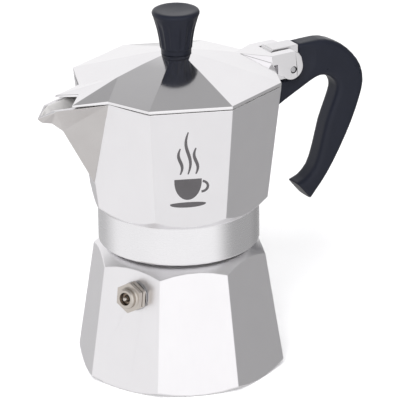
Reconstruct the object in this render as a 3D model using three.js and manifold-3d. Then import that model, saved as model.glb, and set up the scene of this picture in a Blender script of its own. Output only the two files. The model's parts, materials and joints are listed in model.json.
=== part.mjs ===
// Stovetop moka pot, three-cup size, as an assembly of its separate pieces.
// Millimetres, +Z up, origin on the pot's axis at the flat bottom of the boiler.
// The handle points along +X and the spout along -X; the octagon's corners lie every 45 degrees.
import * as THREE from 'three';
import { mergeVertices } from 'three/addons/utils/BufferGeometryUtils.js';
import { ConvexGeometry } from 'three/addons/geometries/ConvexGeometry.js';
import Module from 'manifold-3d';

const wasm = await Module();
wasm.setup();

// ---------- driving dimensions ----------
const GAP = 0.3;                 // clearance between separate pieces that touch
const ROUND = 40;                // segments round a turned part
const SIDES = 8;                 // the pot is octagonal

// boiler
const FOOT_CORNER_R = 45.6;      // corner radius where the bottom chamfer ends
const FOOT_CORNER_Z = 2.6;
const FOOT_FLAT_R = 42;          // flat that the pot stands on
const SHOULDER_CORNER_R = 37.9;  // corner radius where the turned shoulder starts
const SHOULDER_CORNER_Z = 51.5;
const SHOULDER_RISE = 0.6745;    // shoulder cone, rise per radius
const BOILER_TURN = THREE.MathUtils.degToRad(2);  // where the thread stops, boiler against jug
const NECK_R = 31;
const MOUTH_R = 28.2;
const RIM_Z = 71;
const FLOOR_THICKNESS = 3.5;

// thread between boiler and jug
const THREAD_PITCH = 3;
const THREAD_WIRE_R = 0.9;
const THREAD_CREST_OUT = 31.7;   // crest of the boiler's thread
const THREAD_CREST_IN = 32.05;   // crest of the jug's thread

// collector (the jug)
const JUG_LOW_R = 39.33;         // corner radius where the turned underside starts
const JUG_LOW_Z = 78.4;
const JUG_TOP_R = 45.6;
const JUG_TOP_Z = 128.9;
const JUG_WALL = 2.8;            // measured at the corners
const SKIRT_R = 34.7;
const SKIRT_BORE_R = 32.6;
const SKIRT_Z = 57;
const SEAT_Z = 74.6;             // seat for the gasket
const PLATE_RECESS_R = 29.9;
const PLATE_RECESS_Z = 75.7;

// lid
const LID_BOTTOM_Z = JUG_TOP_Z + GAP;
const LID_EDGE_R = JUG_TOP_R;
const LID_EDGE_Z = 130.6;
const LID_TOP_Z = 140.9;
const LID_THICKNESS = 1.8;
const LID_LIP_R = 41.9;          // the lip that drops into the jug
const LID_LIP_Z = 127.6;
const LID_LIP_WALL = 1.6;

// hinge
const PIN = new THREE.Vector3(52.8, 0, 125.3);
const PIN_R = 1.25;
const FORK_HALF = 9.5;           // half width of the lid's fork
const SLOT_HALF = 4.8;           // half width of the slot between its arms
const FORK_TOP_Z = 133.6;
const NOTCH_R = 11.9;            // slot front, round the pin
const LUG_HALF = 4;
const LUG_TOP_Z = 134.2;
const LUG_BOTTOM_Z = 119.6;
const LUG_REAR_X = 58.5;

// handle
const HANDLE_HALF = 5;
const TONGUE_HALF = 1.8;
const SCALLOP_FLOOR = 3.7;       // half thickness left between the scallops behind the fork
const POCKET_FLOOR_Z = LUG_BOTTOM_Z - 0.6;
const SCREW_X = 66.5;
const SCREW_Z = 125.2;
const SCREW_HEAD_Y = 4;          // top of the sunk head
const SCREW_HEAD_HEIGHT = 1.8;
const SLOT_WIDTH = 0.8;          // screwdriver slot in each screw's head

// knob
const KNOB_TOP_Z = 160;
const KNOB_BASE_Z = LID_TOP_Z + GAP;

// funnel
const BASKET_R = 26.6;           // inside the coffee basket
const BASKET_FLOOR_Z = 50.6;
const FUNNEL_WALL = 1;
const STEM_BORE_R = 4;
const STEM_END_Z = 7;

// safety valve, in its own frame: z out of the facet, 0 on the facet
const VALVE_HEIGHT = 42.6;
const VALVE_SIDE_SHIFT = 2.5;
const VALVE_HEX_R = 6.75;
const VALVE_HOLE_R = 4.35;

// ---------- materials ----------
const metal = (colour, roughness) =>
  new THREE.MeshStandardMaterial({ color: colour, roughness, metalness: 1 });
const plain = (colour, roughness) =>
  new THREE.MeshStandardMaterial({ color: colour, roughness, metalness: 0 });
const CAST_ALUMINIUM = metal(0xd6d5d8, 0.3);
const SHEET_ALUMINIUM = metal(0xc9cacd, 0.4);
const BRASS = metal(0xb9ad97, 0.35);
const STEEL = metal(0xb0b2b6, 0.3);
const BAKELITE = plain(0x22242a, 0.4);
const RUBBER = plain(0xe6e3dc, 0.6);

// ---------- geometry helpers ----------
const degrees = THREE.MathUtils.degToRad;
const onAxis = (radius, angle, z) =>
  new THREE.Vector3(radius * Math.cos(angle), radius * Math.sin(angle), z);

/** A closed manifold solid from any closed three.js geometry. */
function solid(geometry) {
  const bare = geometry.clone();
  bare.deleteAttribute('normal');
  bare.deleteAttribute('uv');
  const merged = mergeVertices(bare, 1e-4);
  const corner = merged.getAttribute('position');
  const points = Float32Array.from(corner.array);
  const faces = [];
  let volume = 0;
  const [a, b, c] = [new THREE.Vector3(), new THREE.Vector3(), new THREE.Vector3()];
  for (let i = 0; i < merged.index.count; i += 3) {
    const [i0, i1, i2] = [0, 1, 2].map((k) => merged.index.getX(i + k));
    if (i0 === i1 || i1 === i2 || i2 === i0) continue;
    faces.push([i0, i1, i2]);
    a.fromBufferAttribute(corner, i0);
    b.fromBufferAttribute(corner, i1);
    c.fromBufferAttribute(corner, i2);
    volume += a.dot(b.cross(c));
  }
  const outward = volume < 0 ? faces.map(([i0, i1, i2]) => [i0, i2, i1]) : faces;
  const mesh = new wasm.Mesh({
    numProp: 3,
    vertProperties: points,
    triVerts: Uint32Array.from(outward.flat()),
  });
  return new wasm.Manifold(mesh);
}

/** A named three.js mesh from a manifold solid. */
function piece(name, body, material) {
  const { vertProperties, triVerts } = body.getMesh();
  const geometry = new THREE.BufferGeometry();
  geometry.setAttribute('position', new THREE.BufferAttribute(vertProperties, 3));
  geometry.setIndex(new THREE.BufferAttribute(triVerts, 1));
  geometry.computeVertexNormals();
  const mesh = new THREE.Mesh(geometry, material);
  mesh.name = name;
  return mesh;
}

/** A solid of revolution round Z from [radius, z] points that start and end on the axis. */
function turned(profile, segments = ROUND) {
  const points = profile.map(([r, z]) => new THREE.Vector2(r, z));
  return solid(new THREE.LatheGeometry(points, segments).rotateX(Math.PI / 2));
}

/** A ring of revolution round Z: its [radius, z] outline closes on itself. */
function ring(profile, segments = ROUND) {
  return turned([...profile, profile[0]], segments);
}

/** A plain round bar along Z. */
function bar(radius, z0, z1, segments = ROUND) {
  return solid(barGeometry(radius, z0, z1, segments));
}

function barGeometry(radius, z0, z1, segments = ROUND) {
  return new THREE.CylinderGeometry(radius, radius, z1 - z0, segments)
    .rotateX(Math.PI / 2)
    .translate(0, 0, (z0 + z1) / 2);
}

/** A round bar along Y through (x, z). */
function crossBar(radius, x, z, y0, y1, segments = 24) {
  const geometry = new THREE.CylinderGeometry(radius, radius, y1 - y0, segments);
  return solid(geometry.translate(x, (y0 + y1) / 2, z));
}

function box(x0, x1, y0, y1, z0, z1) {
  const geometry = new THREE.BoxGeometry(x1 - x0, y1 - y0, z1 - z0);
  return solid(geometry.translate((x0 + x1) / 2, (y0 + y1) / 2, (z0 + z1) / 2));
}

/** The convex solid round a set of [x, y, z] points. */
function hull(points) {
  return solid(new ConvexGeometry(points.map((p) => new THREE.Vector3(...p))));
}

/** An eight-sided taper through corner radii r0 at z0 and r1 at z1, cut off at low and high. */
function octagonTaper([r0, z0], [r1, z1], low, high) {
  const radiusAt = (z) => r0 + ((r1 - r0) * (z - z0)) / (z1 - z0);
  const geometry = new THREE.CylinderGeometry(radiusAt(high), radiusAt(low), high - low, SIDES);
  return solid(geometry.rotateX(Math.PI / 2).translate(0, 0, (low + high) / 2));
}

/** A side view in X and Z, made into a plate centred on y = 0. */
function sidePlate(shape, halfWidth) {
  const options = { depth: 2 * halfWidth, curveSegments: 10, bevelEnabled: false };
  const geometry = new THREE.ExtrudeGeometry(shape, options);
  return solid(geometry.rotateX(Math.PI / 2).translate(0, halfWidth, 0));
}

class Helix extends THREE.Curve {
  constructor(radius, z, pitch, turns) {
    super();
    Object.assign(this, { radius, z, pitch, turns });
  }

  getPoint(t) {
    return onAxis(this.radius, 2 * Math.PI * this.turns * t, this.z + this.pitch * this.turns * t);
  }
}

/** A round wire wound into a helix round Z. */
function coil(radius, wire, z, pitch, turns, stepsPerTurn, wireSides) {
  const section = new THREE.Shape().absarc(0, 0, wire, 0, 2 * Math.PI);
  const geometry = new THREE.ExtrudeGeometry(section, {
    steps: Math.round(turns * stepsPerTurn),
    curveSegments: wireSides,
    bevelEnabled: false,
    extrudePath: new Helix(radius, z, pitch, turns),
  });
  return solid(geometry);
}

/** One start of the thread between boiler and jug. */
function threadCoil(radius, z, turns) {
  return coil(radius, THREAD_WIRE_R, z, THREAD_PITCH, turns, 24, 3);
}

/** A thin disc with a centre hole and rings of small holes. */
function perforatedDisc(radius, z, thickness, rings, spacing, holeR) {
  const disc = new THREE.Shape().absarc(0, 0, radius, 0, 2 * Math.PI);
  for (let k = 0; k <= rings; k += 1) {
    const count = k === 0 ? 1 : 6 * k;
    for (let i = 0; i < count; i += 1) {
      const at = onAxis(k * spacing, (2 * Math.PI * i) / count, 0);
      disc.holes.push(new THREE.Path().absarc(at.x, at.y, holeR, 0, 2 * Math.PI));
    }
  }
  const options = { depth: thickness, curveSegments: 1, bevelEnabled: false };
  return solid(new THREE.ExtrudeGeometry(resample(disc, ROUND, 6), options).translate(0, 0, z));
}

/** The same outline and holes as plain polygons with the stated numbers of corners. */
function resample(shape, outer, inner) {
  const plainShape = new THREE.Shape(shape.getSpacedPoints(outer).slice(0, outer));
  plainShape.holes = shape.holes.map(
    (hole) => new THREE.Path(hole.getSpacedPoints(inner).slice(0, inner)),
  );
  return plainShape;
}

// ---------- boiler ----------
function boiler() {
  const shoulderZ = (r) => SHOULDER_CORNER_Z + (SHOULDER_CORNER_R - r) * SHOULDER_RISE;
  const wideR = FOOT_CORNER_R + 0.8;
  const chamfer = FOOT_CORNER_Z / (FOOT_CORNER_R - FOOT_FLAT_R);
  const rebateR = MOUTH_R + 1.4;
  const rebateZ = RIM_Z - 1.3;
  const envelope = turned([
    [0, 0],
    [FOOT_FLAT_R, 0],
    [wideR, (wideR - FOOT_FLAT_R) * chamfer],
    [wideR, shoulderZ(wideR)],
    [NECK_R, shoulderZ(NECK_R)],
    [NECK_R, RIM_Z - 0.6],
    [NECK_R - 0.6, RIM_Z],
    [rebateR, RIM_Z],
    [rebateR, rebateZ],
    [MOUTH_R, rebateZ],
    [MOUTH_R, 53.6],
    [32.2, 50],
    [39, FLOOR_THICKNESS + 1],
    [38, FLOOR_THICKNESS],
    [0, FLOOR_THICKNESS],
  ]);
  const foot = [FOOT_CORNER_R, FOOT_CORNER_Z];
  const shoulder = [SHOULDER_CORNER_R, SHOULDER_CORNER_Z];
  const thread = threadCoil(THREAD_CREST_OUT - THREAD_WIRE_R, 60, 2.5);
  const valveHole = solid(barGeometry(VALVE_HOLE_R, -9, 6, 24).applyMatrix4(valveFrame()));
  return octagonTaper(foot, shoulder, -1, RIM_Z + 1)
    .intersect(envelope)
    .add(thread)
    .subtract(valveHole);
}

/** Where the valve sits on the boiler: on the facet between the corners at 180 and 225 degrees. */
function valveFrame() {
  const facetAngle = degrees(202.5);
  const flat = Math.cos(Math.PI / SIDES);
  const lean = Math.atan(
    ((FOOT_CORNER_R - SHOULDER_CORNER_R) * flat) / (SHOULDER_CORNER_Z - FOOT_CORNER_Z),
  );
  const distance = FOOT_CORNER_R * flat - (VALVE_HEIGHT - FOOT_CORNER_Z) * Math.tan(lean);
  const out = onAxis(Math.cos(lean), facetAngle, Math.sin(lean));
  const across = onAxis(1, facetAngle + Math.PI / 2, 0);
  const up = new THREE.Vector3().crossVectors(out, across);
  return new THREE.Matrix4()
    .makeBasis(across, up, out)
    .setPosition(onAxis(distance, facetAngle, VALVE_HEIGHT).addScaledVector(across, VALVE_SIDE_SHIFT));
}

// ---------- safety valve, in its own frame ----------
const VALVE_SEAT_Z = -4;
const VALVE_MOUTH_Z = 8;
const CHAMBER_R = 2.9;

function valveBody() {
  const hexPrism = (radius, z0, z1) => bar(radius, z0, z1, 6);
  const outside = turned([
    [0, -7.5],
    [3.6, -7.5],
    [4, -7.1],
    [4, 1.1],
    [5.3, 1.1],
    [5.3, 5],
    [4.3, 5.9],
    [4.3, 7.4],
    [3.7, VALVE_MOUTH_Z],
    [0, VALVE_MOUTH_Z],
  ], 24);
  const bore = turned([
    [0, -8],
    [1.3, -8],
    [1.3, VALVE_SEAT_Z],
    [CHAMBER_R, VALVE_SEAT_Z],
    [CHAMBER_R, 7.2],
    [2.5, 9],
    [0, 9],
  ], 24);
  return outside
    .add(hexPrism(VALVE_HEX_R, 1.1, 3))
    .add(hexPrism(VALVE_HEX_R, 3.6, 5.4))
    .subtract(bore);
}

const valveWasher = () => ring([[4.4, 0.3], [6.3, 0.3], [6.3, 0.8], [4.4, 0.8]], 24);

const valveSeatSeal = () => turned([[0, -3.7], [2.2, -3.7], [2.2, -2.9], [0, -2.9]], 24);

const valvePlunger = () => turned([
  [0, -2.6],
  [2.3, -2.6],
  [2.3, -1.8],
  [1.1, -1.4],
  [1.1, 7.6],
  [0.7, 8.4],
  [0, 8.6],
], 24);

const valveSpring = () => coil(1.8, 0.25, -1.1, 1.2, 4.6, 14, 2);

const valveCap = () => ring([[1.5, 5.1], [2.6, 5.1], [2.6, 6], [1.5, 6]], 24);

// ---------- coffee funnel ----------
function funnel() {
  const outerR = BASKET_R + FUNNEL_WALL;
  return ring([
    [29.3, RIM_Z - 1],
    [29.3, RIM_Z],
    [BASKET_R + 0.4, RIM_Z],
    [BASKET_R, RIM_Z - 0.4],
    [BASKET_R, BASKET_FLOOR_Z],
    [BASKET_R - 2, BASKET_FLOOR_Z],
    [STEM_BORE_R + 1, 45],
    [STEM_BORE_R, 43.8],
    [STEM_BORE_R, STEM_END_Z],
    [STEM_BORE_R + FUNNEL_WALL, STEM_END_Z],
    [STEM_BORE_R + FUNNEL_WALL, 43.4],
    [STEM_BORE_R + 1.6, 44.2],
    [outerR - 1.8, BASKET_FLOOR_Z - 1],
    [outerR, BASKET_FLOOR_Z + 0.6],
    [outerR, RIM_Z - 1],
  ]);
}

const funnelPlate = () => perforatedDisc(BASKET_R - GAP, BASKET_FLOOR_Z + GAP, 0.7, 3, 6.2, 0.9);

// ---------- seal and filter ----------
function gasket() {
  const z0 = RIM_Z + GAP;
  const z1 = SEAT_Z - GAP;
  const outer = SKIRT_BORE_R - GAP;
  return ring([[27, z0 + 0.3], [27.3, z0], [outer, z0], [outer, z1], [27.3, z1], [27, z1 - 0.3]]);
}

const filterPlate = () => perforatedDisc(PLATE_RECESS_R - GAP, SEAT_Z + 0.15, 0.65, 3, 7.4, 0.9);

// ---------- collector ----------
const SPOUT_SIDE_Y = 12.4;       // where the spout leaves the octagon's edge
const SPOUT_SIDE_X = -40.4;
const KEEL = [-55.7, 0, 116.6];  // where the spout's keel turns towards the beak

/** The spout's solid wedges, or, inset by the wall and run up to a higher top, its channel. */
function spout(inset, top) {
  const below = 0.9 * inset;
  const keel = [KEEL[0] + 1.25 * inset, 0, KEEL[2] + below];
  const throat = [-60.7 + 0.7 * inset, 0, 120.8 + below];
  const inside = -30;
  const sides = [1, -1].map((side) => ({
    jug: [SPOUT_SIDE_X + inset, side * (SPOUT_SIDE_Y - 1.4 * inset), top],
    lip: [-61.4, side * (5.2 - 0.8 * inset), 128 + 0.6 * inset],
    wall: [inside, side * (SPOUT_SIDE_Y / 2 - 0.7 * inset), top],
  }));
  const [jugs, lips, walls] = ['jug', 'lip', 'wall'].map((key) => sides.map((side) => side[key]));
  const low = hull([
    [-41.1 + inset, 0, 89.9 + 3 * inset],
    [inside, 0, 91 + 3 * inset],
    keel,
    ...jugs,
    ...walls,
  ]);
  const middle = hull([keel, throat, ...lips, ...jugs, [inside, 0, KEEL[2] + inset], [inside, 0, top]]);
  const beak = hull([
    throat,
    [-65.6 + 0.7 * inset, 0, 122.2 + below],
    [-67.7 + 0.7 * inset, 0, 124.4 + below],
    [-57, 0, 126],
    ...lips,
  ]);
  return low.add(middle).add(beak);
}

/** The metal lug between the arms of the lid's fork, with the tongue that carries the handle. */
function lug() {
  const front = new THREE.Shape();
  const arcR = NOTCH_R - GAP;
  const start = Math.acos((45.3 - PIN.x) / arcR);
  front.moveTo(LUG_REAR_X, LUG_TOP_Z);
  front.lineTo(45.3, LUG_TOP_Z);
  front.absarc(PIN.x, PIN.z, arcR, start, degrees(158), false);
  front.lineTo(42.4, JUG_TOP_Z - 2);
  front.lineTo(42.3, LUG_BOTTOM_Z);
  front.lineTo(LUG_REAR_X, LUG_BOTTOM_Z);
  const tongue = box(LUG_REAR_X - 2, 72, -TONGUE_HALF, TONGUE_HALF, 121, 129.5);
  return sidePlate(front, LUG_HALF)
    .add(tongue)
    .subtract(crossBar(PIN_R + GAP, PIN.x, PIN.z, -10, 10))
    .subtract(crossBar(2.2, SCREW_X, SCREW_Z, -10, 10));
}

function jugCavity() {
  const cavity = octagonTaper(
    [JUG_LOW_R - JUG_WALL, JUG_LOW_Z], [JUG_TOP_R - JUG_WALL, JUG_TOP_Z], 78.3, JUG_TOP_Z + 0.05,
  );
  const floor = turned([[0, 76], [35, 76], [35, 78.2], [7, 81.4], [0, 81.4]]);
  return cavity.subtract(floor);
}

function collector() {
  const underside = turned([
    [0, 74],
    [SKIRT_R - 0.1, 74],
    [47, 85.5],
    [47, JUG_TOP_Z],
    [0, JUG_TOP_Z],
  ]);
  const recess = turned([
    [0, 50],
    [SKIRT_BORE_R, 50],
    [SKIRT_BORE_R, SEAT_Z],
    [PLATE_RECESS_R, SEAT_Z],
    [PLATE_RECESS_R, PLATE_RECESS_Z],
    [28, PLATE_RECESS_Z],
    [6, 78.6],
    [0, 78.6],
  ]);
  const skirt = turned([
    [0, SKIRT_Z],
    [SKIRT_R - 0.8, SKIRT_Z],
    [SKIRT_R, SKIRT_Z + 0.8],
    [SKIRT_R, 76.5],
    [0, 76.5],
  ]);
  const thread = threadCoil(THREAD_CREST_IN + THREAD_WIRE_R, 58.8, 1.8);
  return octagonTaper([JUG_LOW_R, JUG_LOW_Z], [JUG_TOP_R, JUG_TOP_Z], 73, JUG_TOP_Z)
    .intersect(underside)
    .add(skirt)
    .add(spout(0, JUG_TOP_Z))
    .subtract(recess)
    .add(thread)
    .subtract(jugCavity())
    .subtract(spout(2, JUG_TOP_Z + 1))
    .add(lug())
    .subtract(bar(5.3, 76, 84, 24));
}

/** The column in the jug, with a window on each side under its closed top. */
function riserTube() {
  const tube = turned([
    [3.6, 79.3],
    [5, 79.3],
    [5, 81.7],
    [7.4, 81.7],
    [6.6, 83],
    [4.9, 112],
    [4.9, 116],
    [3.4, 118],
    [0, 118],
    [0, 116.4],
    [3.3, 116.4],
    [3.6, 79.3],
  ], 32);
  return tube.subtract(box(-8, 8, -2, 2, 110, 115));
}

// ---------- lid ----------
// The ridges along the lid's corners, from the edge up to the flat top.
const LID_RIDGE = [[LID_EDGE_R, LID_EDGE_Z], [30, 135], [17, 138.6], [7.2, LID_TOP_Z]];

const lidShell = () => turned([
  [0, LID_LIP_Z],
  [LID_LIP_R, LID_LIP_Z],
  [LID_LIP_R, LID_BOTTOM_Z],
  [LID_EDGE_R, LID_BOTTOM_Z],
  ...LID_RIDGE,
  [0, LID_TOP_Z],
], SIDES);

/** The space under the lid. */
function lidInside() {
  const lipR = LID_LIP_R - LID_LIP_WALL;
  return turned([
    [0, LID_LIP_Z - 3],
    [lipR, LID_LIP_Z - 3],
    [lipR, LID_BOTTOM_Z + 0.8],
    ...LID_RIDGE.slice(1).map(([r, z]) => [r, z - LID_THICKNESS]),
    [0, LID_TOP_Z - LID_THICKNESS],
  ], SIDES);
}

/** One sloping half of the roof over the spout; side is 1 or -1. */
function spoutRoof(side) {
  return hull([
    [-28.6, 0, 135.4],
    [-28.6, 0, 133.4],
    [-47.8, 0, 131.3],
    [-48.2, 0, 129.8],
    [-54.9, side * 7.4, 130.1],
    [-54.9, side * 7.4, LID_BOTTOM_Z],
    [SPOUT_SIDE_X, side * SPOUT_SIDE_Y, LID_EDGE_Z],
    [SPOUT_SIDE_X, side * SPOUT_SIDE_Y, LID_BOTTOM_Z],
  ]);
}

/** The passage under the spout's roof, cut through the lid's rim. */
function roofInside() {
  const low = LID_LIP_Z - 2;
  const sides = [1, -1].flatMap((side) => [
    [-56, side * 5.6, low],
    [-56, side * 5.6, 129.1],
    [-39.4, side * 9.6, low],
    [-39.4, side * 9.6, 129.3],
    [-33, side * 9.6, low],
    [-33, side * 9.6, 130.5],
  ]);
  return hull([...sides, [-29, 0, 133], [-48.4, 0, 129.6]]);
}

/** The two-armed fork on the lid, before its slot is cut. */
function forkBlock() {
  const plan = new THREE.Shape();
  plan.moveTo(28.5, 0);
  plan.lineTo(41.8, -FORK_HALF);
  plan.lineTo(62, -FORK_HALF);
  plan.lineTo(62, FORK_HALF);
  plan.lineTo(41.8, FORK_HALF);
  const block = solid(
    new THREE.ExtrudeGeometry(plan, { depth: 20, bevelEnabled: false }).translate(0, 0, 118),
  );
  const side = new THREE.Shape();
  side.moveTo(28, LID_BOTTOM_Z);
  side.lineTo(44.9, LID_BOTTOM_Z);
  side.lineTo(44.9, 124.6);
  side.absarc(52.1, 126.4, 5.3, degrees(-140), degrees(12), false);
  side.lineTo(56.7, 130.4);
  side.lineTo(55.2, 132.7);
  side.lineTo(53.6, FORK_TOP_Z);
  side.lineTo(42, FORK_TOP_Z);
  side.lineTo(28, FORK_TOP_Z + 1.4);
  return block.intersect(sidePlate(side, 12));
}

/** What the fork leaves free round the collector's lug. */
function forkSlot() {
  const round = crossBar(NOTCH_R, PIN.x, PIN.z, -SLOT_HALF, SLOT_HALF, 64);
  const open = box(PIN.x - 8.8, 70, -SLOT_HALF, SLOT_HALF, 110, 140);
  return round.add(open);
}

function lid() {
  return lidShell()
    .add(forkBlock())
    .add(spoutRoof(1))
    .add(spoutRoof(-1))
    .subtract(lidInside())
    .subtract(roofInside())
    .subtract(forkSlot())
    .subtract(crossBar(PIN_R + GAP, PIN.x, PIN.z, -12, 12))
    .subtract(bar(2.4, 130, 145, 16));
}

// ---------- knob and its screw ----------
const knob = () => turned([
  [0, KNOB_TOP_Z],
  [9, KNOB_TOP_Z],
  [9.9, KNOB_TOP_Z - 0.4],
  [10.2, KNOB_TOP_Z - 1.2],
  [9.8, KNOB_TOP_Z - 2.6],
  [8.3, 152.6],
  [7.2, 146.5],
  [6.6, 142],
  [6.3, KNOB_BASE_Z],
  [2.4, KNOB_BASE_Z],
  [2.4, 154],
  [0, 154],
], 32);

const WASHER_TOP_Z = LID_TOP_Z - LID_THICKNESS - GAP;
const knobWasher = () =>
  ring([[2.4, WASHER_TOP_Z - 0.8], [5, WASHER_TOP_Z - 0.8], [5, WASHER_TOP_Z], [2.4, WASHER_TOP_Z]], 24);

function knobScrew() {
  const headTop = WASHER_TOP_Z - 0.8 - GAP;
  const screw = turned([
    [0, headTop - 2.4],
    [2.4, headTop - 2.2],
    [3.6, headTop - 1.2],
    [3.6, headTop],
    [2, headTop],
    [2, 152.6],
    [1.4, 153.2],
    [0, 153.2],
  ], 24);
  return screw.subtract(box(-4, 4, -SLOT_WIDTH / 2, SLOT_WIDTH / 2, headTop - 3, headTop - 1.4));
}

// ---------- hinge pin ----------
const hingePin = () => crossBar(PIN_R, PIN.x, PIN.z, -FORK_HALF + 0.3, FORK_HALF - 0.3);

// ---------- handle ----------
// Side view from the jug to the foot: matching [x, z] points on the outer and inner edge.
const HANDLE_OUTER = [
  [40, 134], [52, 134], [60, 134], [67, 134.1], [73.2, 133.6], [80.7, 130.2], [86.7, 124.7],
  [90.7, 118.7], [92.1, 111.5], [90.2, 103.6], [86, 93.2], [79.6, 81.2], [73.3, 71.4], [67.8, 64.9],
  [64.7, 61.4],
];
const HANDLE_INNER = [
  [40, 103.6], [50.7, 109.3], [60, 113.8], [65.9, 116.6], [70, 117.6], [73.6, 116.8], [76, 115.2],
  [77.9, 112.8], [78.5, 109.3], [76.6, 103.9], [72.9, 94.9], [69.7, 83.1], [66.7, 75.4], [62.2, 71.2],
  [57.8, 69.8],
];
const HANDLE_EDGE = 2.2;         // rounding along the handle's edges

/** The rounded cross-section, x from the outer edge inwards; its flat sides are stretched later. */
function handleSection(depth) {
  const [r, y] = [HANDLE_EDGE, HANDLE_HALF - HANDLE_EDGE];
  return new THREE.Shape()
    .absarc(r, -y, r, Math.PI, 1.5 * Math.PI)
    .absarc(depth - r, -y, r, 1.5 * Math.PI, 2 * Math.PI)
    .absarc(depth - r, y, r, 0, 0.5 * Math.PI)
    .absarc(r, y, r, 0.5 * Math.PI, Math.PI);
}

/** The handle's bow: the cross-section carried from the jug round to the foot. */
function handleBow() {
  const [outer, inner] = [HANDLE_OUTER, HANDLE_INNER].map(
    (edge) => new THREE.SplineCurve(edge.map(([x, z]) => new THREE.Vector2(x, z))),
  );
  const steps = 2 * (HANDLE_OUTER.length - 1);
  const depth = 3 * HANDLE_EDGE;
  const geometry = new THREE.ExtrudeGeometry(handleSection(depth), {
    depth: steps,
    steps,
    curveSegments: 2,
    bevelEnabled: false,
  });
  const corner = geometry.getAttribute('position');
  for (let i = 0; i < corner.count; i += 1) {
    const t = corner.getZ(i) / steps;
    const start = outer.getPoint(t);
    const across = inner.getPoint(t).sub(start);
    const stretch = corner.getX(i) > depth / 2 ? across.length() - depth : 0;
    const at = across.normalize().multiplyScalar(corner.getX(i) + stretch).add(start);
    corner.setXYZ(i, at.x, corner.getY(i), at.y);
  }
  return solid(geometry);
}

/** Room for one arm of the fork, running out into a scallop; side is 1 or -1. */
function forkPocket(side) {
  const inner = LUG_HALF + 0.5;
  const depth = 4.4;
  const scallop = new THREE.SphereGeometry(1, 36, 24)
    .scale(14, depth, 14.5)
    .translate(PIN.x + 4.2, side * (SCALLOP_FLOOR + depth), 127);
  const [y0, y1] = side > 0 ? [inner, 12] : [-12, -inner];
  return box(30, PIN.x + 8.8, y0, y1, POCKET_FLOOR_Z, 140).add(solid(scallop));
}

function handle() {
  const mortise = TONGUE_HALF + GAP;
  const wall = octagonTaper(
    [JUG_LOW_R + GAP, JUG_LOW_Z], [JUG_TOP_R + GAP, JUG_TOP_Z], 95, 140,
  );
  const screwHole = crossBar(2.2, SCREW_X, SCREW_Z, -4.2, 12);
  const sinkDepth = SCREW_HEAD_HEIGHT + GAP;
  const sinkCone = new THREE.CylinderGeometry(4.3, 2.2, sinkDepth, 24)
    .translate(SCREW_X, SCREW_HEAD_Y + GAP - sinkDepth / 2, SCREW_Z);
  const screwSink = solid(sinkCone)
    .add(crossBar(4.3, SCREW_X, SCREW_Z, SCREW_HEAD_Y + GAP - 0.01, HANDLE_HALF + 1));
  return handleBow()
    .subtract(wall)
    .subtract(forkPocket(1))
    .subtract(forkPocket(-1))
    .subtract(box(30, LUG_REAR_X + GAP, -12, 12, POCKET_FLOOR_Z, 140))
    .subtract(box(50, 72 + GAP, -mortise, mortise, 121 - GAP, 129.5 + GAP))
    .subtract(screwHole)
    .subtract(screwSink);
}

function handleScrew() {
  const shank = crossBar(1.9, SCREW_X, SCREW_Z, -3.9, SCREW_HEAD_Y, 20);
  const head = new THREE.CylinderGeometry(3.6, 1.9, SCREW_HEAD_HEIGHT, 24)
    .translate(SCREW_X, SCREW_HEAD_Y - SCREW_HEAD_HEIGHT / 2, SCREW_Z);
  const slot = box(-4, 4, SCREW_HEAD_Y - 0.7, SCREW_HEAD_Y + 1, -SLOT_WIDTH / 2, SLOT_WIDTH / 2);
  return shank
    .add(solid(head))
    .subtract(slot.translate(SCREW_X, 0, SCREW_Z));
}

// ---------- assembly ----------
const pot = new THREE.Group();

const boilerGroup = new THREE.Group();
boilerGroup.rotation.z = BOILER_TURN;
boilerGroup.add(piece('boiler', boiler(), CAST_ALUMINIUM));

const valveGroup = new THREE.Group();
valveGroup.applyMatrix4(valveFrame());
valveGroup.add(
  piece('valve_body', valveBody(), BRASS),
  piece('valve_washer', valveWasher(), STEEL),
  piece('valve_seat_seal', valveSeatSeal(), RUBBER),
  piece('valve_plunger', valvePlunger(), BRASS),
  piece('valve_spring', valveSpring(), STEEL),
  piece('valve_cap', valveCap(), BRASS),
);
boilerGroup.add(valveGroup);

pot.add(
  boilerGroup,
  piece('funnel', funnel(), SHEET_ALUMINIUM),
  piece('funnel_plate', funnelPlate(), SHEET_ALUMINIUM),
  piece('gasket', gasket(), RUBBER),
  piece('filter_plate', filterPlate(), SHEET_ALUMINIUM),
  piece('collector', collector(), CAST_ALUMINIUM),
  piece('riser_tube', riserTube(), SHEET_ALUMINIUM),
  piece('lid', lid(), CAST_ALUMINIUM),
  piece('knob', knob(), BAKELITE),
  piece('knob_washer', knobWasher(), STEEL),
  piece('knob_screw', knobScrew(), STEEL),
  piece('hinge_pin', hingePin(), STEEL),
  piece('handle', handle(), BAKELITE),
  piece('handle_screw', handleScrew(), STEEL),
);

export default pot;
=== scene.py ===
"""Looks of the stovetop moka pot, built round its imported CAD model. Metres, +Z up."""
import json
import math

import bmesh
import bpy
from mathutils import Matrix, Vector

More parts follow.
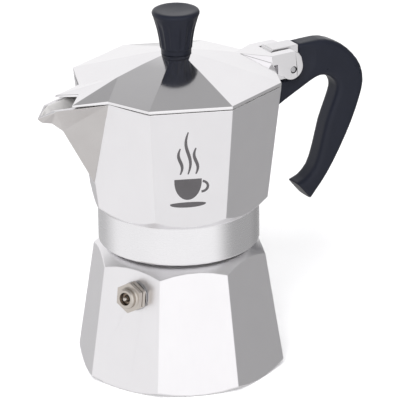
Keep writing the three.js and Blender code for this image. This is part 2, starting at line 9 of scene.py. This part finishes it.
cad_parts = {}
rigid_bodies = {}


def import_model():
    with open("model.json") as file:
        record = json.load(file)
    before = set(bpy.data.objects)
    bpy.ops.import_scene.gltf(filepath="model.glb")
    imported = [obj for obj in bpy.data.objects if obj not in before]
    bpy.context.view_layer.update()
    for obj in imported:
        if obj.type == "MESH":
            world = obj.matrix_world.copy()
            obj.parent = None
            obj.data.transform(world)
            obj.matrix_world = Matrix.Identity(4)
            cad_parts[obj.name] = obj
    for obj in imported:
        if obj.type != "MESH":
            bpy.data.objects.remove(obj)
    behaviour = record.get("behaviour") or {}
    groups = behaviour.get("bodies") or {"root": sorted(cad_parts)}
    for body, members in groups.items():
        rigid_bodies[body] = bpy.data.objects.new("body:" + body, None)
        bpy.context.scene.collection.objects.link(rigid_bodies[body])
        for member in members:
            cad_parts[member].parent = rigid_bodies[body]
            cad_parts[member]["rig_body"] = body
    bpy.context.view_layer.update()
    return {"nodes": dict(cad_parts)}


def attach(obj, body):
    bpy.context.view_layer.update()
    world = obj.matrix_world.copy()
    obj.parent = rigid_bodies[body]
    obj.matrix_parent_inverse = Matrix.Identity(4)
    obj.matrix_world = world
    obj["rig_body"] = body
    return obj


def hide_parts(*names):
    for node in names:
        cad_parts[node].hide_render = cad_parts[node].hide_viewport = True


MM = 0.001
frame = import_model()
nodes = frame["nodes"]
scene = bpy.context.scene


# ---------- node helpers ----------
class Tree:
    """A small writer for a node tree: add() makes a node, link() joins two sockets."""

    def __init__(self, tree):
        self.tree = tree

    def add(self, kind, **settings):
        node = self.tree.nodes.new(kind)
        for key, value in settings.items():
            setattr(node, key, value)
        return node

    def link(self, source, target):
        self.tree.links.new(source, target)

    def coordinate(self, scale=(1, 1, 1)):
        """The piece's own coordinates in millimetres, stretched by scale."""
        place = self.add("ShaderNodeTexCoord")
        mapping = self.add("ShaderNodeMapping")
        mapping.inputs["Scale"].default_value = [s / MM for s in scale]
        self.link(place.outputs["Object"], mapping.inputs["Vector"])
        return mapping.outputs["Vector"]

    def noise(self, vector, scale, detail=4.0, roughness=0.55):
        node = self.add("ShaderNodeTexNoise")
        self.link(vector, node.inputs["Vector"])
        node.inputs["Scale"].default_value = scale
        node.inputs["Detail"].default_value = detail
        node.inputs["Roughness"].default_value = roughness
        return node.outputs["Fac"]

    def spread(self, value, low, high, start=0.3, end=0.7):
        """value, taken from start..end to low..high."""
        node = self.add("ShaderNodeMapRange")
        self.link(value, node.inputs["Value"])
        ends = {"From Min": start, "From Max": end, "To Min": low, "To Max": high}
        for key, number in ends.items():
            node.inputs[key].default_value = number
        return node.outputs["Result"]

    def blend_colours(self, factor, first, second):
        node = self.add("ShaderNodeMix", data_type="RGBA")
        self.link(factor, node.inputs["Factor"])
        node.inputs["A"].default_value = (*first, 1)
        node.inputs["B"].default_value = (*second, 1)
        return node.outputs["Result"]

    def bump(self, heights, strength, distance):
        """One bump from several heights."""
        total = heights[0]
        for height in heights[1:]:
            add = self.add("ShaderNodeMath", operation="ADD")
            self.link(total, add.inputs[0])
            self.link(height, add.inputs[1])
            total = add.outputs["Value"]
        node = self.add("ShaderNodeBump")
        node.inputs["Strength"].default_value = strength
        node.inputs["Distance"].default_value = distance * MM
        self.link(total, node.inputs["Height"])
        return node.outputs["Normal"]


def new_material(name, metallic, specular=0.5):
    material = bpy.data.materials.new(name)
    material.use_nodes = True
    shader = material.node_tree.nodes["Principled BSDF"]
    shader.inputs["Metallic"].default_value = metallic
    shader.inputs["Specular IOR Level"].default_value = specular
    return material, Tree(material.node_tree), shader


def metal(name, light, dark, rough, grain=(1, 1, 1), grain_size=1.0, bump=0.05, distance=0.02,
          metallic=1.0):
    """Bare metal: cloudy tone and gloss, with a fine grain that grain stretches along an axis."""
    material, tree, shader = new_material(name, metallic)
    plain = tree.coordinate()
    cloud = tree.noise(plain, 0.06)
    fine = tree.noise(tree.coordinate(grain), 2.2 / grain_size, detail=6.0, roughness=0.65)
    tree.link(tree.blend_colours(cloud, dark, light), shader.inputs["Base Color"])
    tree.link(tree.spread(fine, rough[0], rough[1]), shader.inputs["Roughness"])
    heights = [fine, tree.spread(cloud, 0, 0.6)]
    tree.link(tree.bump(heights, bump, distance), shader.inputs["Normal"])
    return material


def moulded(name, light, dark, rough, bump=0.15, specular=0.5):
    """Moulded plastic or rubber: slight unevenness in tone and gloss, and a fine skin."""
    material, tree, shader = new_material(name, 0.0, specular=specular)
    plain = tree.coordinate()
    cloud = tree.noise(plain, 0.12)
    fine = tree.noise(plain, 0.9, detail=5.0)
    tree.link(tree.blend_colours(cloud, dark, light), shader.inputs["Base Color"])
    tree.link(tree.spread(cloud, rough[0], rough[1]), shader.inputs["Roughness"])
    tree.link(tree.bump([fine], bump, 0.03), shader.inputs["Normal"])
    return material


ALONG_Z = (1, 1, 0.05)      # grain drawn out along the height
ROUND_Z = (0.04, 0.04, 2)   # turning marks, close together along the height
polished = metal("polished_aluminium", (0.90, 0.892, 0.905), (0.85, 0.84, 0.855), (0.29, 0.38),
                 grain=ALONG_Z, grain_size=2.4, bump=0.012)
lid_polish = metal("lid_aluminium", (0.90, 0.893, 0.905), (0.85, 0.84, 0.855), (0.07, 0.13),
                   grain_size=1.6, bump=0.02)
# Spout sides: partly a warmer, matt cast surface, partly painted shade, darker in colour to stand
# in for the shaded floor they reflect.
spout_matte_and_painted_shade = metal("spout_aluminium_painted_shade", (0.68, 0.66, 0.65), (0.58, 0.56, 0.55), (0.26, 0.4),
                    grain_size=0.8, bump=0.12, distance=0.04)
turned = metal("turned_aluminium", (0.90, 0.895, 0.905), (0.85, 0.845, 0.86), (0.2, 0.3),
               grain=ROUND_Z, grain_size=0.6, bump=0.06, distance=0.02)
cast = metal("cast_inside", (0.74, 0.73, 0.73), (0.62, 0.61, 0.60), (0.35, 0.55),
             grain_size=0.6, bump=0.25, distance=0.08, metallic=0.45)
sheet = metal("sheet_aluminium", (0.80, 0.80, 0.81), (0.72, 0.72, 0.73), (0.28, 0.42),
              grain=ROUND_Z, bump=0.1)
brass = metal("valve_brass", (0.68, 0.635, 0.58), (0.50, 0.46, 0.42), (0.28, 0.42), grain_size=0.5,
              bump=0.12)
mouth_metal = metal("valve_mouth", (0.40, 0.33, 0.27), (0.22, 0.17, 0.13), (0.35, 0.5), bump=0.1)
steel = metal("bright_steel", (0.60, 0.60, 0.61), (0.50, 0.50, 0.51), (0.25, 0.38), bump=0.08)
bakelite = moulded("dark_plastic", (0.0105, 0.012, 0.020), (0.0075, 0.009, 0.015), (0.27, 0.37),
                   specular=0.2)
seal = moulded("white_rubber", (0.80, 0.79, 0.75), (0.72, 0.70, 0.66), (0.5, 0.65), bump=0.3)
ink = moulded("grey_ink", (0.075, 0.07, 0.075), (0.05, 0.047, 0.05), (0.4, 0.55), bump=0.05)


# ---------- refined copies of CAD nodes ----------
FLAT = math.radians(0.4)    # faces that turn by less than this are one flat face
WELD = 0.02                 # corners closer than this, in millimetres, are one corner


def sharp_edges(mesh, limit_at):
    """Edges whose two faces turn by more than limit_at(middle of the edge) degrees."""
    found = []
    for edge in mesh.edges:
        if len(edge.link_faces) != 2:
            continue
        middle = (edge.verts[0].co + edge.verts[1].co) / 2 / MM
        if edge.calc_face_angle(0) > math.radians(limit_at(middle)):
            found.append((edge, middle))
    return found


def flat_regions(mesh):
    """Groups of joined faces that turn by less than FLAT from one to the next."""
    waiting = set(mesh.faces)
    for start in mesh.faces:
        if start not in waiting:
            continue
        waiting.remove(start)
        region, queue = {start}, [start]
        while queue:
            for edge in queue.pop().edges:
                if len(edge.link_faces) == 2 and edge.calc_face_angle(0) < FLAT:
                    for face in edge.link_faces:
                        if face in waiting:
                            waiting.remove(face)
                            region.add(face)
                            queue.append(face)
        yield region


def edges_to_clear(mesh):
    """Edges inside flat regions that have no hole, so each region can become one face."""
    found = []
    for region in flat_regions(mesh):
        edges = {edge for face in region for edge in face.edges}
        verts = {vert for face in region for vert in face.verts}
        if len(verts) - len(edges) + len(region) == 1:
            found += [edge for edge in edges
                      if len(edge.link_faces) == 2 and region.issuperset(edge.link_faces)]
    return sorted(found, key=lambda edge: edge.index)


def set_material_slots(piece, choices):
    """choices is one material, or (materials, pick).

    pick(middle of a face in millimetres, its normal) gives an index into materials.
    """
    piece.data.materials.clear()
    if not isinstance(choices, tuple):
        piece.data.materials.append(choices)
        return
    materials, pick = choices
    for material in materials:
        piece.data.materials.append(material)
    for face in piece.data.polygons:
        face.material_index = pick(face.center / MM, face.normal)


def refined(node, name, material, edge, limit_at=lambda middle: 20, bevelled=lambda middle: True):
    """A copy of a CAD node that stands for it, with its sharp edges rounded edge mm wide.

    limit_at(place) is the turn in degrees that makes an edge sharp there, and bevelled(place)
    says whether a sharp edge there is rounded or left crisp.
    """
    body = nodes[node]["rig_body"]
    mesh = bpy.data.meshes.new(name)
    work = bmesh.new()
    work.from_mesh(nodes[node].data)
    bmesh.ops.remove_doubles(work, verts=work.verts, dist=WELD * MM)
    work.edges.index_update()
    bmesh.ops.dissolve_limit(work, angle_limit=FLAT, verts=work.verts, edges=edges_to_clear(work))
    bmesh.ops.recalc_face_normals(work, faces=work.faces)
    weight = work.edges.layers.float.new("bevel_weight_edge")
    for face in work.faces:
        face.smooth = True
    for sharp, middle in sharp_edges(work, limit_at):
        if edge > 0 and bevelled(middle):
            sharp[weight] = 1.0
        else:
            sharp.smooth = False
    work.to_mesh(mesh)
    work.free()
    piece = bpy.data.objects.new(name, mesh)
    scene.collection.objects.link(piece)
    set_material_slots(piece, material)
    if edge > 0:
        bevel = piece.modifiers.new("edges", "BEVEL")
        bevel.limit_method = "WEIGHT"
        bevel.width = edge * MM
        bevel.segments = 3
        bevel.use_clamp_overlap = False
        bevel.harden_normals = True
        flat = piece.modifiers.new("flat faces", "WEIGHTED_NORMAL")
        flat.keep_sharp = True
        flat.weight = 100
    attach(piece, body)
    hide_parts(node)
    return piece


# Places that part one surface of the pot from another, in millimetres.
BOILER_INSIDE_LOW, BOILER_INSIDE_TOP, BOILER_INSIDE_R = 3, 69, 41
NECK_FOOT, NECK_R = 55, 31.5
SKIRT_FOOT, SKIRT_TOP, SKIRT_R = 58, 76.5, 35.5
SPOUT_X = -42           # the spout lies beyond this
JUG_INSIDE_X = 44       # the hinge's lug lies beyond this
JUG_FLOOR_TOP, JUG_FLOOR_R = 120, 39
LID_INSIDE_X = 40       # the lid's fork starts beyond this
FORK_X = 41
FORK_LIMIT = 24         # degrees; the round lobes of the fork stay smooth
THREAD_LOW, THREAD_TOP = 57.4, 69.5
THREAD_IN, THREAD_OUT = 29, 33.2

OUTSIDE, INSIDE, TURNED, SPOUT = range(4)


def from_axis(middle, normal):
    """How far a face lies from the pot's axis, and whether it looks away from it."""
    return math.hypot(middle.x, middle.y), normal.x * middle.x + normal.y * middle.y > 0


def boiler_pick(middle, normal):
    radius, outward = from_axis(middle, normal)
    inside = BOILER_INSIDE_LOW < middle.z < BOILER_INSIDE_TOP and radius < BOILER_INSIDE_R
    if inside and not outward:
        return INSIDE
    return TURNED if radius < NECK_R and middle.z > NECK_FOOT else OUTSIDE


def jug_pick(middle, normal):
    radius, outward = from_axis(middle, normal)
    if middle.z < SKIRT_TOP and radius < SKIRT_R:
        return TURNED if outward or middle.z < SKIRT_FOOT else INSIDE
    # The spout's side and downward faces take the darker spout material: a matt cast surface, with
    # painted shade for the dark floor they reflect.
    if outward and middle.x < SPOUT_X and normal.z < 0.4:
        return SPOUT
    if not outward and middle.x < JUG_INSIDE_X and abs(normal.z) < 0.999:
        return INSIDE
    floor = middle.z < JUG_FLOOR_TOP and radius < JUG_FLOOR_R and normal.z > 0.5
    return INSIDE if floor else OUTSIDE


def lid_pick(middle, normal):
    return INSIDE if normal.z < -0.3 and middle.x < LID_INSIDE_X else OUTSIDE


def fork_limit(plain):
    """Sharp means plain degrees, but FORK_LIMIT round the hinge."""
    return lambda middle: FORK_LIMIT if middle.x > FORK_X else plain


def off_thread(middle):
    """Whether an edge is clear of the thread, whose turns are too close to be rounded."""
    radius = math.hypot(middle.x, middle.y)
    return not (THREAD_LOW < middle.z < THREAD_TOP and THREAD_IN < radius < THREAD_OUT)


refined("boiler", "boiler_body", ([polished, cast, turned], boiler_pick), 0.4,
        lambda middle: 14, off_thread)
refined("collector", "jug_body", ([polished, cast, turned, spout_matte_and_painted_shade], jug_pick), 0.35,
        fork_limit(12), off_thread)
refined("lid", "lid_cover", ([lid_polish, cast], lid_pick), 0.22, fork_limit(9.6))
refined("valve_body", "valve_nut", brass, 0.15)
refined("valve_plunger", "valve_tip", brass, 0.12)
refined("valve_cap", "valve_ring", mouth_metal, 0.1)
refined("riser_tube", "riser_column", sheet, 0.15)
refined("funnel", "funnel_cup", sheet, 0.12)
refined("gasket", "gasket_ring", seal, 0.2)
refined("hinge_pin", "hinge_rivet", steel, 0.35)
refined("handle_screw", "handle_bolt", steel, 0.06)
refined("knob_screw", "knob_bolt", steel, 0.12)
for node, material in (("valve_washer", steel), ("valve_spring", steel), ("valve_seat_seal", seal),
                       ("funnel_plate", sheet), ("filter_plate", sheet), ("knob_washer", steel)):
    nodes[node].data.materials.clear()
    nodes[node].data.materials.append(material)


# ---------- handle ----------
def moulded_handle():
    """The handle, with every edge softened as in a moulding."""
    piece = refined("handle", "handle_grip", bakelite, 0)
    remesh = piece.modifiers.new("skin", "REMESH")
    remesh.mode = "VOXEL"
    remesh.voxel_size = 0.4 * MM
    remesh.use_smooth_shade = True
    soften = piece.modifiers.new("soften", "SMOOTH")
    soften.factor = 0.5
    soften.iterations = 16
    return piece


moulded_handle()


# ---------- knob ----------
KNOB_STEPS = 192
FLUTES = 16
FLUTE_DEPTH = 0.38
FLUTE_FOOT, FLUTE_TOP = 143.4, 157.2    # heights between which the flutes run
FLUTE_FOOT_FADE, FLUTE_TOP_FADE = 1.2, 4.5
# Outside of the knob from the middle of its top down to its foot: [radius, z] in millimetres.
KNOB_SIDE = [
    (0, 159.55), (3, 159.6), (6, 159.75), (7.6, 159.9), (8.6, 159.97), (9.3, 159.85), (9.75, 159.6),
    (10.05, 159.2), (10.18, 158.7), (10.1, 158.2), (9.85, 157.6), (9.7, 157.2), (9.6, 156.9),
    (9.35, 156), (9.0, 154.8), (8.65, 153.5), (8.3, 152.2), (8.0, 150.8), (7.75, 149.4), (7.5, 148),
    (7.3, 146.6), (7.12, 145.2), (6.98, 144.2), (6.9, 143.7), (6.84, 143.4), (6.6, 143.25),
    (6.5, 143), (6.45, 142.2), (6.42, 141.2), (6.35, 140.95),
]
KNOB_BORE = [(2.5, 140.95), (2.4, 141.2), (2.4, 153.8), (2.1, 154), (0, 154)]


def flute_share(z):
    """How deep the flutes are at height z: none at the foot and under the rim."""
    rise = min(max((z - FLUTE_FOOT) / FLUTE_FOOT_FADE, 0), 1)
    fall = min(max((FLUTE_TOP - z) / FLUTE_TOP_FADE, 0), 1)
    return rise * fall * fall * (3 - 2 * fall)


def knob_grip():
    """The knob, turned from its side and bore, with flutes round it."""
    work = bmesh.new()
    rows = []
    for index, (radius, z) in enumerate(KNOB_SIDE + KNOB_BORE):
        if radius == 0:
            rows.append([work.verts.new((0, 0, z * MM))])
            continue
        depth = FLUTE_DEPTH * flute_share(z) if index < len(KNOB_SIDE) else 0
        row = []
        for step in range(KNOB_STEPS):
            angle = 2 * math.pi * step / KNOB_STEPS
            wave = abs(math.cos(FLUTES * angle / 2))
            r = (radius - depth * (1 - wave ** 3)) * MM
            row.append(work.verts.new((r * math.cos(angle), r * math.sin(angle), z * MM)))
        rows.append(row)
    for above, below in zip(rows, rows[1:]):
        for step in range(KNOB_STEPS):
            after = (step + 1) % KNOB_STEPS
            corners = [above[step % len(above)], below[step % len(below)],
                       below[after % len(below)], above[after % len(above)]]
            work.faces.new(list(dict.fromkeys(corners)))
    bmesh.ops.recalc_face_normals(work, faces=work.faces)
    for face in work.faces:
        face.smooth = True
    mesh = bpy.data.meshes.new("knob_grip")
    work.to_mesh(mesh)
    work.free()
    piece = bpy.data.objects.new("knob_grip", mesh)
    scene.collection.objects.link(piece)
    mesh.materials.append(bakelite)
    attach(piece, nodes["knob"]["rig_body"])
    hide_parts("knob")


knob_grip()


# ---------- emblem: a steaming cup, printed on the front facet ----------
FACET_ANGLE = math.radians(-112.5)
OCTAGON = math.pi / 8       # half the angle of one facet
JUG_LOW, JUG_TOP = (39.33, 78.4), (45.6, 128.9)
INK_DEPTH = 0.05            # how far a print stands out of the facet, and reaches into it
ARC_STEPS = 24
STEAM_STEPS = 16


def facet_place(across, up, proud):
    """A point of the front facet in metres: across and up in millimetres from its middle."""
    flat = math.cos(OCTAGON)
    rise, run = JUG_TOP[1] - JUG_LOW[1], (JUG_TOP[0] - JUG_LOW[0]) * flat
    slope = Vector((run, rise)).normalized()
    start = Vector(((JUG_TOP[0] + JUG_LOW[0]) * flat / 2, (JUG_TOP[1] + JUG_LOW[1]) / 2))
    spot = start + up * slope + proud * Vector((slope.y, -slope.x))
    outward = Vector((math.cos(FACET_ANGLE), math.sin(FACET_ANGLE), 0))
    side = Vector((-outward.y, outward.x, 0))
    return (outward * spot.x + side * across + Vector((0, 0, spot.y))) * MM


def print_shape(name, outlines):
    """Thin printed shapes: each outline is a closed list of (across, up) points."""
    work = bmesh.new()
    for outline in outlines:
        front = [work.verts.new(facet_place(a, u, INK_DEPTH)) for a, u in outline]
        back = [work.verts.new(facet_place(a, u, -INK_DEPTH)) for a, u in outline]
        work.faces.new(front)
        work.faces.new(list(reversed(back)))
        for i in range(len(outline)):
            j = (i + 1) % len(outline)
            work.faces.new([front[i], back[i], back[j], front[j]])
    bmesh.ops.recalc_face_normals(work, faces=work.faces)
    mesh = bpy.data.meshes.new(name)
    work.to_mesh(mesh)
    work.free()
    mesh.materials.append(ink)
    piece = bpy.data.objects.new(name, mesh)
    scene.collection.objects.link(piece)
    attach(piece, nodes["collector"]["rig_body"])


def ribbon(points, widths):
    """The outline of a stroke through points, with a width at each."""
    left, right = [], []
    for i, (a, u) in enumerate(points):
        before, after = points[max(i - 1, 0)], points[min(i + 1, len(points) - 1)]
        along = Vector((after[0] - before[0], after[1] - before[1])).normalized()
        half = widths[i] / 2
        left.append((a - along.y * half, u + along.x * half))
        right.append((a + along.y * half, u - along.x * half))
    return left + right[::-1]


def steam(across, low, high, sway):
    """A curl of steam from low to high, thickest in its middle."""
    points, widths = [], []
    for i in range(STEAM_STEPS + 1):
        t = i / STEAM_STEPS
        points.append((across + sway * math.sin(2 * math.pi * t), low + (high - low) * t))
        widths.append(0.25 + 1.15 * math.sin(math.pi * (0.08 + 0.84 * t)))
    return ribbon(points, widths)


def arc(across, up, rx, ry, start, end):
    """Points of an ellipse round (across, up), from start to end degrees."""
    return [(across + rx * math.cos(math.radians(start + (end - start) * i / ARC_STEPS)),
             up + ry * math.sin(math.radians(start + (end - start) * i / ARC_STEPS)))
            for i in range(ARC_STEPS + 1)]


CUP_X, CUP_TOP, CUP_HALF = -1.2, -5.5, 5.8
SAUCER_HALF = 7.6
CUP_HANDLE_WIDTH = 1.1
cup = [(CUP_X - CUP_HALF, CUP_TOP), (CUP_X + CUP_HALF, CUP_TOP),
       *arc(CUP_X, CUP_TOP - 1, CUP_HALF, 8.8, 0, -180)]
cup_handle = ribbon(arc(CUP_X + 5.6, CUP_TOP - 3.7, 2.8, 2.5, 78, -88),
                    [CUP_HANDLE_WIDTH] * (ARC_STEPS + 1))
saucer = [*arc(CUP_X, CUP_TOP - 11.6, SAUCER_HALF, 0.7, 180, 0),
          *arc(CUP_X, CUP_TOP - 11.8, SAUCER_HALF, 1.6, 0, -180)]
print_shape("emblem_cup", [cup, cup_handle, saucer])
print_shape("emblem_steam", [steam(CUP_X - 3.3, -3.2, 9, 0.8), steam(CUP_X, -3.2, 16.5, 1.0),
                             steam(CUP_X + 3.3, -3.2, 9, 0.8)])


# ---------- floor, light and camera ----------
def pale_floor():
    """A sheet of pale paper, left out of reflections."""
    bpy.ops.mesh.primitive_plane_add(size=6, location=(0, 0, -0.05 * MM))
    floor = bpy.context.object
    floor.name = "floor"
    material, tree, shader = new_material("pale_paper", 0.0, specular=0.2)
    shader.inputs["Roughness"].default_value = 0.8
    fibre = tree.noise(tree.coordinate(), 0.02)
    tree.link(tree.blend_colours(fibre, (0.9, 0.9, 0.905), (0.92, 0.92, 0.925)),
              shader.inputs["Base Color"])
    floor.data.materials.append(material)
    floor.visible_glossy = False


class Studio(Tree):
    """The light tent round the pot, as brightness by direction."""

    def towards(self, x, y, z=0.0):
        """How far a direction points towards (x, y, z)."""
        node = self.add("ShaderNodeVectorMath", operation="DOT_PRODUCT")
        self.link(self.place, node.inputs[0])
        node.inputs[1].default_value = (x, y, z)
        return node.outputs["Value"]

    def mix(self, factor, first, second):
        node = self.add("ShaderNodeMix", data_type="FLOAT")
        for key, value in (("Factor", factor), ("A", first), ("B", second)):
            if isinstance(value, float):
                node.inputs[key].default_value = value
            else:
                self.link(value, node.inputs[key])
        return node.outputs["Result"]

    def times(self, first, second):
        node = self.add("ShaderNodeMath", operation="MULTIPLY")
        self.link(first, node.inputs[0])
        self.link(second, node.inputs[1])
        return node.outputs["Value"]


def studio_world():
    """Walls that are bright to the left and in front, dim low down behind and on the right.

    The ceiling is dim too, and its dim part reaches lower towards the left.
    """
    world = bpy.data.worlds.new("studio")
    scene.world = world
    world.use_nodes = True
    tree = Studio(world.node_tree)
    tree.place = tree.add("ShaderNodeTexCoord").outputs["Generated"]
    height = tree.towards(0, 0, 1)
    front = tree.spread(tree.towards(-0.196, -0.98), 0, 1, start=0.3, end=0.75)
    back = tree.spread(tree.towards(0.3, 0.95), 0, 1, start=0.35, end=0.75)
    walls = tree.mix(front, 0.95, tree.spread(height, 0.84, 1.2, start=-0.6, end=-0.1))
    walls = tree.mix(back, walls, tree.spread(height, 0.55, 0.98, start=-0.3, end=-0.15))
    right = tree.spread(tree.towards(0.985, -0.17), 1.0, 0.42, start=0.5, end=0.78)
    ceiling = tree.spread(tree.towards(-0.2, 0.1, 1), 1.0, 0.42, start=0.58, end=0.755)
    strength = tree.times(tree.times(walls, right), ceiling)
    background = world.node_tree.nodes["Background"]
    tree.link(strength, background.inputs["Strength"])
    background.inputs["Color"].default_value = (1, 0.993, 1, 1)


def softbox(name, place, target, size, power):
    """A lamp that lights matt surfaces and shows in no reflection."""
    light = bpy.data.lights.new(name, "AREA")
    light.shape = "RECTANGLE"
    light.size, light.size_y = size
    light.energy = power
    lamp = bpy.data.objects.new(name, light)
    scene.collection.objects.link(lamp)
    lamp.location = place
    lamp.rotation_euler = (Vector(target) - Vector(place)).to_track_quat("-Z", "Y").to_euler()
    lamp.visible_glossy = False


CAMERA_PLACE = (-0.7723, -1.3165, 0.6853)
CAMERA_TURN, CAMERA_DOWN, CAMERA_ROLL = -30.743, 21.847, -0.755     # degrees
SENSOR, LENS = 36, 344.88


def camera():
    """Stands to the front left, looking slightly down."""
    turn, down, roll = (math.radians(a) for a in (CAMERA_TURN, CAMERA_DOWN, CAMERA_ROLL))
    forward = Vector((-math.sin(turn) * math.cos(down), math.cos(turn) * math.cos(down),
                      -math.sin(down)))
    right = Vector((math.cos(turn), math.sin(turn), 0))
    up = right.cross(forward)
    right, up = (right * math.cos(roll) + up * math.sin(roll),
                 up * math.cos(roll) - right * math.sin(roll))
    basis = Matrix((right, up, -forward)).transposed().to_4x4()
    data = bpy.data.cameras.new("camera")
    data.sensor_width = SENSOR
    data.lens = LENS
    view = bpy.data.objects.new("camera", data)
    scene.collection.objects.link(view)
    view.matrix_world = Matrix.Translation(CAMERA_PLACE) @ basis
    scene.camera = view


pale_floor()
studio_world()
softbox("key", (-0.9, -1.0, 1.3), (0, 0, 0.05), (1.0, 1.0), 34)
softbox("overhead", (0, 0.3, 2.2), (0, 0.3, 0), (2.4, 2.4), 24)
camera()
scene.view_settings.view_transform = "Standard"
